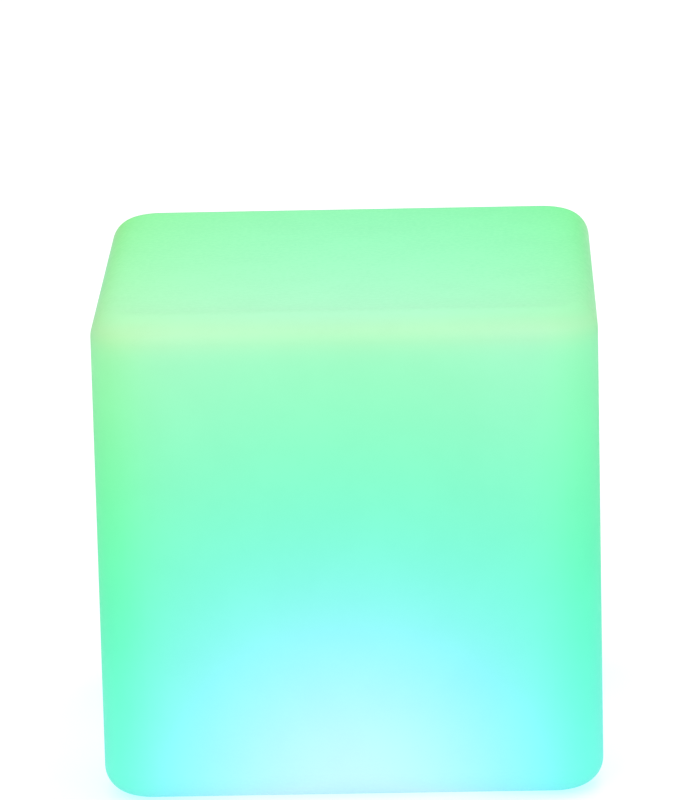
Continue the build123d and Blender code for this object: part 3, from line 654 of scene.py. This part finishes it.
def smooth(mesh, crease=None):
    """Smooth faces; with a crease, the edges that bend more get sharp."""
    for face in mesh.polygons:
        face.use_smooth = True
    if crease:
        mesh.set_sharp_from_angle(angle=crease)


def soft_box(work, size, centre, rounding):
    """Adds a box with rounded edges to an empty bmesh."""
    box = bmesh.ops.create_cube(work, size=1.0)["verts"]
    bmesh.ops.scale(work, vec=size, verts=box)
    bmesh.ops.translate(work, vec=centre, verts=box)
    bmesh.ops.bevel(work, geom=work.edges[:], offset=rounding, segments=2, affect="EDGES")


def refined(name, node, body, slot, material, bevel):
    """A copy of a solid with its facets joined, its edges softened and its round faces smooth."""
    mesh = NODES[node].data.copy()
    work = bmesh.new()
    work.from_mesh(mesh)
    bmesh.ops.remove_doubles(work, verts=work.verts, dist=SAME_PLACE)
    bmesh.ops.dissolve_limit(work, angle_limit=SAME_FACE, verts=work.verts, edges=work.edges)
    work.to_mesh(mesh)
    work.free()
    mesh.materials.clear()
    mesh.materials.append(material)
    piece = placed(name, mesh)
    edge = piece.modifiers.new("edge", "BEVEL")
    edge.width = bevel
    edge.segments = 2
    edge.limit_method = "ANGLE"
    edge.angle_limit = SOLID_CREASE
    edge.use_clamp_overlap = True
    view = bpy.context.evaluated_depsgraph_get()
    piece.data = bpy.data.meshes.new_from_object(piece.evaluated_get(view), depsgraph=view)
    piece.data.name = name
    piece.modifiers.clear()
    smooth(piece.data, SOLID_CREASE)
    return stands_for(piece, body, slot, node)


def joined(piece, *meshes):
    """Adds closed meshes to a finished piece."""
    work = bmesh.new()
    for mesh in (piece.data, *meshes):
        work.from_mesh(mesh)
    work.to_mesh(piece.data)
    work.free()
    smooth(piece.data)


# ---------------------------------------------------------------- turned and repeated pieces

def eased(points, radius, steps=3):
    """The same profile with its corners rounded; ends on the axis stay."""
    done = [points[0]]
    for before, here, after in zip(points, points[1:], points[2:]):
        here, before, after = Vector(here), Vector(before), Vector(after)
        back, ahead = before - here, after - here
        cut = min(radius, back.length * 0.45, ahead.length * 0.45)
        start, end = here + back.normalized() * cut, here + ahead.normalized() * cut
        for i in range(steps + 1):
            u = i / steps
            done.append(tuple(start * (1 - u) ** 2 + here * 2 * u * (1 - u) + end * u ** 2))
    return done + [points[-1]]


def lathe(name, profile, steps=64, place=(0.0, 0.0, 0.0), turn=None):
    """A closed mesh turned about the Z axis from (radius, height) points."""
    work = bmesh.new()
    rings = []
    for radius, height in profile:
        if radius < 1e-7:
            rings.append([work.verts.new((0, 0, height))] * steps)
        else:
            rings.append([work.verts.new((radius * cos(2 * pi * i / steps), radius * sin(2 * pi * i / steps),
                                          height)) for i in range(steps)])
    pairs = list(zip(rings, rings[1:]))
    if len(set(rings[0])) > 1:
        pairs.append((rings[-1], rings[0]))
    for low, high in pairs:
        for i in range(steps):
            corners = [low[i], low[(i + 1) % steps], high[(i + 1) % steps], high[i]]
            corners = [v for k, v in enumerate(corners) if v not in corners[:k]]
            if len(corners) > 2:
                work.faces.new(corners)
    bmesh.ops.recalc_face_normals(work, faces=work.faces)
    if turn is not None:
        bmesh.ops.transform(work, matrix=turn, verts=work.verts)
    bmesh.ops.translate(work, vec=place, verts=work.verts)
    return as_mesh(name, work)


def screw_profile(head_r, head_h, shank_r, pitch, length):
    """Low round head over a threaded shank, with the head's seat at height 0."""
    points = [(0.0, head_h), (head_r * 0.45, head_h * 0.98), (head_r * 0.8, head_h * 0.82),
              (head_r * 0.97, head_h * 0.5), (head_r, head_h * 0.25), (head_r, 0.0), (shank_r, 0.0)]
    height = -pitch
    while height > -length + 1.5 * pitch:
        points += [(shank_r, height), (shank_r - 0.32 * pitch, height - 0.5 * pitch)]
        height -= pitch
    return points + [(shank_r, height), (shank_r * 0.55, -length), (0.0, -length)]


def screw_set(name, node, size, length, seat_z, layout, from_below=False, **places):
    """Screws with crossed slots in their heads, on a ring, in a row or on a grid."""
    head_r, head_h = size[:2]
    turn = Matrix.Rotation(pi, 4, "X") if from_below else None
    base = lathe(name + "_one", screw_profile(*size, length), 28, turn=turn)
    t = Tree(name, slot_length=head_r * 1.05, slot_width=head_r * 0.24, slot_depth=head_h * 0.55,
             face_height=-head_h if from_below else head_h, seat_height=seat_z, **places)
    slots = [t.moved(t.bar(t.slot_length, t.slot_width, t.times(t.slot_depth, 2.0), angle),
                     t.xyz(z=t.face_height)) for angle in (0.0, pi / 2)]
    if layout == "ring":
        points = t.ring_points(t.count, t.circle_radius, t.first_angle)
    elif layout == "row":
        points = t.row_points(t.count, t.pitch, t.angle)
    else:
        points = t.grid_points(t.spacing_x, t.spacing_y, t.centre_y)
    t.finished(t.repeated(t.cut(t.base, *slots), t.moved(points, t.xyz(z=t.seat_height))), steel)
    stands_for(t.baked(name, base), "cube", "steel", node)


def make_feet():
    """Four rubber pads with pressed rings in the face that meets the ground."""
    groove = 0.0007
    ridges = [(0.0, 0.0), (0.0030, 0.0), (0.0036, groove), (0.0056, groove), (0.0062, 0.0), (0.0082, 0.0),
              (0.0088, groove), (0.0106, groove), (0.0112, 0.0)]
    sides = [(0.0129, 0.0), (FOOT_R, 0.0011), (FOOT_R, FOOT_SEAT_Z), (0.0, FOOT_SEAT_Z)]
    profile = eased(ridges + sides, 0.0004)
    t = Tree("foot_pads", foot_spacing=FOOT_SPACING)
    t.finished(t.repeated(t.base, t.grid_points(t.foot_spacing, t.foot_spacing)), black_rubber)
    stands_for(t.baked("foot_pads", lathe("foot_pad", profile, 72)), "cube", "black_rubber", "rubber_feet")


def make_inserts():
    """Knurled brass inserts in the seat of the lamp unit."""
    t = Tree("brass_inserts", count=UNIT_SCREW_COUNT, circle_radius=UNIT_CIRCLE_R, first_angle=UNIT_TURN,
             seat_height=SEAT_Z, top_height=INSERT_TOP, bore=0.00205, outside=0.0036, notch=0.0003,
             notches=20, first_notch=0.07)
    body = t.drum(t.outside, t.seat_height, t.top_height, 40)
    bore = t.hole(t.bore, t.seat_height, t.top_height, 28)
    groove = t.hole(t.notch, t.seat_height, t.top_height, 6)
    one = t.cut(body, bore, t.repeated(groove, t.ring_points(t.notches, t.outside, t.first_notch)))
    t.finished(t.repeated(one, t.ring_points(t.count, t.circle_radius, t.first_angle)), brass)
    stands_for(t.baked("brass_inserts"), "cube", "brass", "unit_inserts")


def make_light_chips():
    """Eighteen light chips in two rings, each a square frame round a low glowing window."""
    side, frame_h, window_r, window_h = 0.005, 0.0011, 0.0019, 0.0004
    work = bmesh.new()
    window = work.verts.layers.float.new("window")
    soft_box(work, (side, side, frame_h), (0, 0, LIGHT_BOARD_Z + frame_h / 2), 0.0003)
    framed = len(work.verts)
    work.from_mesh(lathe("window", [(0.0, -0.0002), (window_r, -0.0002), (window_r, 0.0),
                                    (window_r * 0.8, window_h * 0.7), (window_r * 0.45, window_h * 0.95),
                                    (0.0, window_h)], 24, (0, 0, LIGHT_BOARD_Z + frame_h)))
    work.verts.ensure_lookup_table()
    for vertex in work.verts[framed:]:
        vertex[window] = 1.0
    t = Tree("light_chips", inner_count=6, inner_radius=0.011, outer_count=12, outer_radius=0.023)
    rings = t.both(t.ring_points(t.inner_count, t.inner_radius, 0.0),
                   t.ring_points(t.outer_count, t.outer_radius, 0.0))
    t.finished(t.repeated(t.base, rings, t.outward()), light_chip())
    stands_for(t.baked("light_chips", as_mesh("light_chip", work)), "cube", "light_chips", "led_chips")


def make_grip_ribs():
    """Short radial ribs on the lamp base, for turning it by hand, between two low rings."""
    length, width, height, count = 0.0056, 0.0012, 0.0007, 48
    work = bmesh.new()
    soft_box(work, (length, width, height + SUNK), (0, 0, FLANGE_Z + (SUNK - height) / 2), 0.00025)
    t = Tree("grip_ribs", count=count, circle_radius=0.0565, first_angle=pi / count)
    places = t.ring_points(t.count, t.circle_radius, t.first_angle)
    t.finished(t.repeated(t.base, places, t.outward()), white_casing)
    ribs = t.baked("grip_ribs", as_mesh("grip_rib", work))
    mesh = ribs.data
    bpy.data.objects.remove(ribs)
    rings = []
    for inside in (0.0518, 0.0702):
        outside, top, bottom = inside + width, FLANGE_Z + SUNK, FLANGE_Z - height
        profile = eased([(inside, top), (inside, bottom), (outside, bottom), (outside, top)], 0.0003)
        rings.append(lathe("low_ring", profile, 128))
    return [mesh] + rings


def make_lid_ridges():
    """Three finger ridges on the tab of the port cover."""
    length, width, height = 0.0050, 0.0006, 0.0005
    ridges = []
    for y in (-0.0128, -0.0143, -0.0158):
        work = bmesh.new()
        soft_box(work, (length, width, SUNK + height), (PORT[0], y, LID_Z + (SUNK - height) / 2), 0.0002)
        ridges.append(as_mesh("lid_ridge", work))
    return ridges


def make_cells():
    """Two round cells side by side with their raised ends at the front."""
    radius, half, tip_r, tip = 0.0092, 0.0325, 0.003, 0.0008
    profile = [(0.0, -half), (0.0060, -half), (0.0063, -half + 0.0002), (radius - 0.0008, -half),
               (radius, -half + 0.0008), (radius, half - 0.0040), (radius - 0.0006, half - 0.0034),
               (radius - 0.0006, half - 0.0028), (radius, half - 0.0022), (radius, half - 0.0007),
               (radius - 0.0007, half), (0.0068, half), (0.0064, half - 0.0005), (0.0036, half - 0.0005),
               (tip_r, half), (tip_r, half + tip), (0.0, half + tip)]
    base = lathe("cell", profile, 56)
    bare = base.attributes.new("bare", "FLOAT", "POINT")
    for i, vertex in enumerate(base.vertices):
        ends = abs(vertex.co.z) > half - 0.0006 and vertex.co.xy.length < radius - 0.0020
        bare.data[i].value = 1.0 if ends else 0.0
    base.transform(Matrix.Translation((0, 0, CELL_Z)) @ Matrix.Rotation(pi / 2, 4, "X"))
    t = Tree("round_cells", count=2, pitch=CELL_PITCH)
    t.finished(t.repeated(t.base, t.row_points(t.count, t.pitch)), cell_sleeve())
    stands_for(t.baked("round_cells", base), "cube", "cell_sleeve", "battery_cells")


# ---------------------------------------------------------------- pieces

# The white casing's faint glow is partly light from the lamp that seeps through the plastic and partly painted
# light that lifts the casing out of the shade in the pocket under the cube.
white_casing = moulded("white_casing", (0.80, 0.81, 0.79), (0.70, 0.72, 0.70), 0.42,
                       Emission_Color=(0.10, 0.20, 0.19), Emission_Strength=1.0)
black_moulding = moulded("black_moulding", (0.030, 0.030, 0.033), (0.018, 0.018, 0.020), 0.5)
black_parts = moulded("black_parts", (0.040, 0.040, 0.044), (0.022, 0.022, 0.025), 0.42, grain=0.0005,
                      depth=0.00001)
nylon = moulded("nylon", (0.74, 0.72, 0.66), (0.62, 0.60, 0.54), 0.5)
grey_button = moulded("grey_button", (0.40, 0.43, 0.45), (0.32, 0.34, 0.36), 0.38)
black_rubber = rubbery("black_rubber", (0.075, 0.075, 0.078), (0.022, 0.022, 0.024), 0.8)
white_silicone = rubbery("white_silicone", (0.78, 0.80, 0.79), (0.66, 0.68, 0.67), 0.6)
grey_silicone = rubbery("grey_silicone", (0.50, 0.52, 0.53), (0.37, 0.39, 0.40), 0.65)
steel = plated("steel", (0.62, 0.62, 0.64), (0.45, 0.45, 0.47))
brass = plated("brass", (0.78, 0.58, 0.26), (0.58, 0.42, 0.18))
nickel = plated("nickel_strip", (0.70, 0.68, 0.63), (0.55, 0.53, 0.50))
green_board = circuit_board("green_board", (0.012, 0.17, 0.06), (0.03, 0.30, 0.12), pitch=0.012)
light_board = circuit_board("light_board", (0.82, 0.83, 0.81), (0.70, 0.72, 0.69), pitch=0.018)
clear_guide = clear_plastic("clear_guide", (0.90, 0.97, 0.93), 0.08, glow=(0.12, 0.85, 0.30))
two_core = ribbon("two_core_lead", [(0.50, 0.03, 0.03), (0.02, 0.02, 0.02)], axis=0, start=0.0079)
four_core = ribbon("four_core_lead", [(0.50, 0.50, 0.52), (0.45, 0.04, 0.04), (0.04, 0.30, 0.08),
                                      (0.04, 0.10, 0.42)], axis=1, start=-0.0032)

stands_for(make_shell(glowing_skin()), "cube", "milky_polyethylene", "diffuser_shell")
make_feet()
make_inserts()
make_light_chips()
make_cells()

screw_set("unit_screw_set", "unit_screws", M4, length=0.0151, seat_z=FLANGE_Z, layout="ring", from_below=True,
          count=UNIT_SCREW_COUNT, circle_radius=UNIT_CIRCLE_R, first_angle=UNIT_TURN)
screw_set("housing_screw_set", "housing_screws", M3, length=0.0135, seat_z=FLANGE_Z, layout="ring",
          from_below=True, count=3, circle_radius=0.048, first_angle=radians(90.0))
screw_set("light_board_screws", "led_screws", M2_5, length=0.0037, seat_z=LIGHT_BOARD_Z, layout="row",
          count=2, pitch=0.063, angle=radians(90.0))
screw_set("cradle_screw_set", "cradle_screws", M2_5, length=0.0166, seat_z=CRADLE_EAR_Z, layout="grid",
          spacing_x=0.050, spacing_y=0.035, centre_y=0.0085)

# Name, node, body, slot, material, place, steps round the axis, rounding of the corners, and the profile.
TURNED = (
    ("push_cap", "power_button", "button", "grey_button", grey_button, BUTTON, 64, 0.0003,
     [(0.0, 0.0096), (0.0030, 0.0095), (0.0046, 0.0092), (0.0057, 0.0090), (0.0065, 0.0094),
      (0.0065, FLOOR_Z), (0.0077, FLOOR_Z), (0.0077, 0.0149), (0.0019, 0.0149), (0.0019, 0.0166),
      (0.0, 0.0166)]),
    ("plunger", "switch_plunger", "button", "nylon", nylon, BUTTON, 32, 0.0003,
     [(0.0, 0.0172), (0.0015, 0.0172), (0.0015, 0.0207), (0.0, 0.0207)]),
    ("signal_guide", "indicator_lens", "cube", "clear_plastic", clear_guide, INDICATOR, 40, 0.0002,
     [(0.0, FLANGE_Z), (0.0014, FLANGE_Z + 0.0001), (0.0018, 0.0104), (0.0018, 0.0229), (0.0, 0.0229)]),
    ("socket_core", "socket_pin", "cube", "brass", brass, PORT, 32, 0.0002,
     [(0.0, 0.0183), (0.0007, 0.0183), (0.00105, 0.0187), (0.00105, 0.0225), (0.0, 0.0225)]),
    ("light_dome", "lens_dome", "cube", "clear_plastic", prism_frost(), (0.0, 0.0, 0.0), 96, None,
     [(0.0460, DECK_Z), (0.0460, 0.0618), (0.0456, 0.0622), (0.0404, 0.0622), (0.0400, 0.0626),
      (0.0393, 0.0655), (0.0374, 0.0690), (0.0342, 0.0724), (0.0297, 0.0757), (0.0240, 0.0782),
      (0.0170, 0.0797), (0.0080, 0.0802), (0.0, 0.0802), (0.0, 0.0782), (0.0080, 0.0782), (0.0165, 0.0777),
      (0.0230, 0.0763), (0.0284, 0.0740), (0.0326, 0.0709), (0.0356, 0.0678), (0.0374, 0.0650),
      (0.0380, 0.0620), (0.0380, DECK_Z)]),
)
for name, node, body, slot, material, place, steps, rounding, profile in TURNED:
    mesh = lathe(name, eased(profile, rounding) if rounding else profile, steps, place)
    mesh.materials.append(material)
    smooth(mesh, TURNED_CREASE)
    stands_for(placed(name, mesh), body, slot, node)

# The boot's rim sits in the casing and its crown against the button.
BOOT_STRETCH = ("cube", "button", (0.018, -0.024, 0.0145), (0.018, -0.024, 0.0165))
# Name, node, body, slot, material and width of the softened edges.
REFINED = (
    ("base_plate", "lamp_base", "cube", "white_casing", white_casing, 0.0003),
    ("base_gasket", "mouth_gasket", "cube", "white_silicone", white_silicone, 0.0002),
    ("casing_seal", "housing_seal", "cube", "white_silicone", white_silicone, 0.0001),
    ("upper_casing", "lamp_housing", "cube", "white_casing", white_casing, 0.0004),
    ("light_disc", "led_board", "cube", "light_board", light_board, 0.0001),
    ("main_board", "control_board", "cube", "green_board", green_board, 0.0001),
    ("board_parts", "control_parts", "cube", "black_parts", black_parts, 0.0003),
    ("board_sleeves", "board_spacers", "cube", "nylon", nylon, 0.0002),
    ("cell_cradle", "battery_cradle", "cube", "black_moulding", black_moulding, 0.0003),
    ("cell_strips", "cell_links", "cube", "nickel_strip", nickel, 0.0001),
    ("cell_bands", "cell_straps", "cube", "nylon", nylon, 0.0001),
    ("lid_flap", "port_cover", "cover", "grey_silicone", grey_silicone, 0.0003),
    ("flap_root", "cover_anchor", "cube", "grey_silicone", grey_silicone, 0.0003),
    ("charging_socket", "charge_socket", "cube", "black_parts", black_parts, 0.0002),
    ("cap_boot", "button_boot", BOOT_STRETCH, "white_silicone", white_silicone, 0.0002),
    ("switch_body", "push_switch", "cube", "black_parts", black_parts, 0.0002),
    ("cell_lead", "battery_lead", "cube", "red_lead", two_core, 0.0001),
    ("light_lead", "led_lead", "cube", "grey_lead", four_core, 0.0001),
)
solid_pieces = {row[0]: refined(*row) for row in REFINED}
joined(solid_pieces["base_plate"], *make_grip_ribs())
joined(solid_pieces["lid_flap"], *make_lid_ridges())


# ---------------------------------------------------------------- floor, light and camera

WHITE = (1.0, 1.0, 1.0)
FLOOR_REACH = 5.0
PAPER_GLOW = 0.38          # brings the seen paper up to white
ROOM_LIGHT = 0.68          # strength of the light from all round


def paper_floor():
    """Pale studio paper that shows white to the camera and keeps the object's shadow; clear from below."""
    f = Finish("studio_paper", 0.9, Specular_IOR_Level=0.1, Emission_Color=WHITE)
    f.colour(f.clouds(0.25, (0.83, 0.83, 0.83), (0.80, 0.80, 0.80), 4.0))
    f.join(f.times(f.seen_directly(), PAPER_GLOW), f.shader.inputs["Emission Strength"])
    behind = f.node("ShaderNodeNewGeometry").outputs["Backfacing"]
    f.join(f.either(behind, f.shader, f.node("ShaderNodeBsdfTransparent")), f.end.inputs["Surface"])
    return f.relief((f.noise(0.002), 0.0001), strength=0.2)


mesh = bpy.data.meshes.new("studio_floor")
mesh.from_pydata([(x * FLOOR_REACH, y * FLOOR_REACH, 0) for x, y in ((-1, -1), (1, -1), (1, 1), (-1, 1))], [],
                 [(0, 1, 2, 3)])
mesh.materials.append(paper_floor())
floor = placed("studio_floor", mesh)

SCENE.world = bpy.data.worlds.new("studio")
SCENE.world.use_nodes = True
sky = Nodes(SCENE.world.node_tree)
room = sky.node("ShaderNodeBackground", Color=WHITE, Strength=ROOM_LIGHT)
backdrop = sky.node("ShaderNodeBackground", Color=WHITE, Strength=1.0)
sky.node("ShaderNodeOutputWorld", Surface=sky.either(sky.seen_directly(), room, backdrop))

# Name, place, width and power. Every lamp points at the middle of the cube.
MIDDLE = Vector((0.0, 0.0, HALF))
LAMPS = (
    ("front_lamp", (-0.4, -3.4, 2.4), 2.4, 34.0),
    ("top_lamp", (0.3, -0.3, 3.6), 2.4, 18.0),
    ("back_lamp", (0.6, 2.2, 3.4), 2.0, 20.0),
)
for name, place, width, power in LAMPS:
    data = bpy.data.lights.new(name, "AREA")
    data.shape = "SQUARE"
    data.size = width
    data.energy = power
    lamp = placed(name, data)
    lamp.location = place
    lamp.rotation_euler = (MIDDLE - Vector(place)).to_track_quat("-Z", "Y").to_euler()

# The camera stands 12 sides in front of the cube and looks down on it by 14.5 degrees.
YAW = -0.0223
PITCH = 0.2534
ROLL = -0.0234
OFFSET = Vector((0.0047, 0.1955, 12.0986)) * SIDE      # of the cube's middle: right, down and ahead
FOCAL_PIXELS = 5892.57
SENSOR = 36.0
FRAME_HEIGHT = 800.0
FAR_END = 50.0


def camera_turn():
    """Rows are the camera's right, down and forward axes."""
    across = Matrix(((cos(YAW), -sin(YAW), 0), (sin(YAW), cos(YAW), 0), (0, 0, 1)))
    upright = Matrix(((1, 0, 0), (0, 0, -1), (0, 1, 0)))
    tilt = Matrix(((1, 0, 0), (0, cos(PITCH), -sin(PITCH)), (0, sin(PITCH), cos(PITCH))))
    lean = Matrix(((cos(ROLL), -sin(ROLL), 0), (sin(ROLL), cos(ROLL), 0), (0, 0, 1)))
    return lean @ tilt @ upright @ across


turn = camera_turn()
data = bpy.data.cameras.new("camera")
data.sensor_fit = "VERTICAL"
data.sensor_height = SENSOR
data.lens = FOCAL_PIXELS * SENSOR / FRAME_HEIGHT
data.clip_end = FAR_END
camera = placed("camera", data)
facing = (Matrix(((1, 0, 0), (0, -1, 0), (0, 0, -1))) @ turn).transposed()
camera.matrix_world = Matrix.Translation(MIDDLE - turn.transposed() @ OFFSET) @ facing.to_4x4()
SCENE.camera = camera

SCENE.view_settings.view_transform = "Standard"
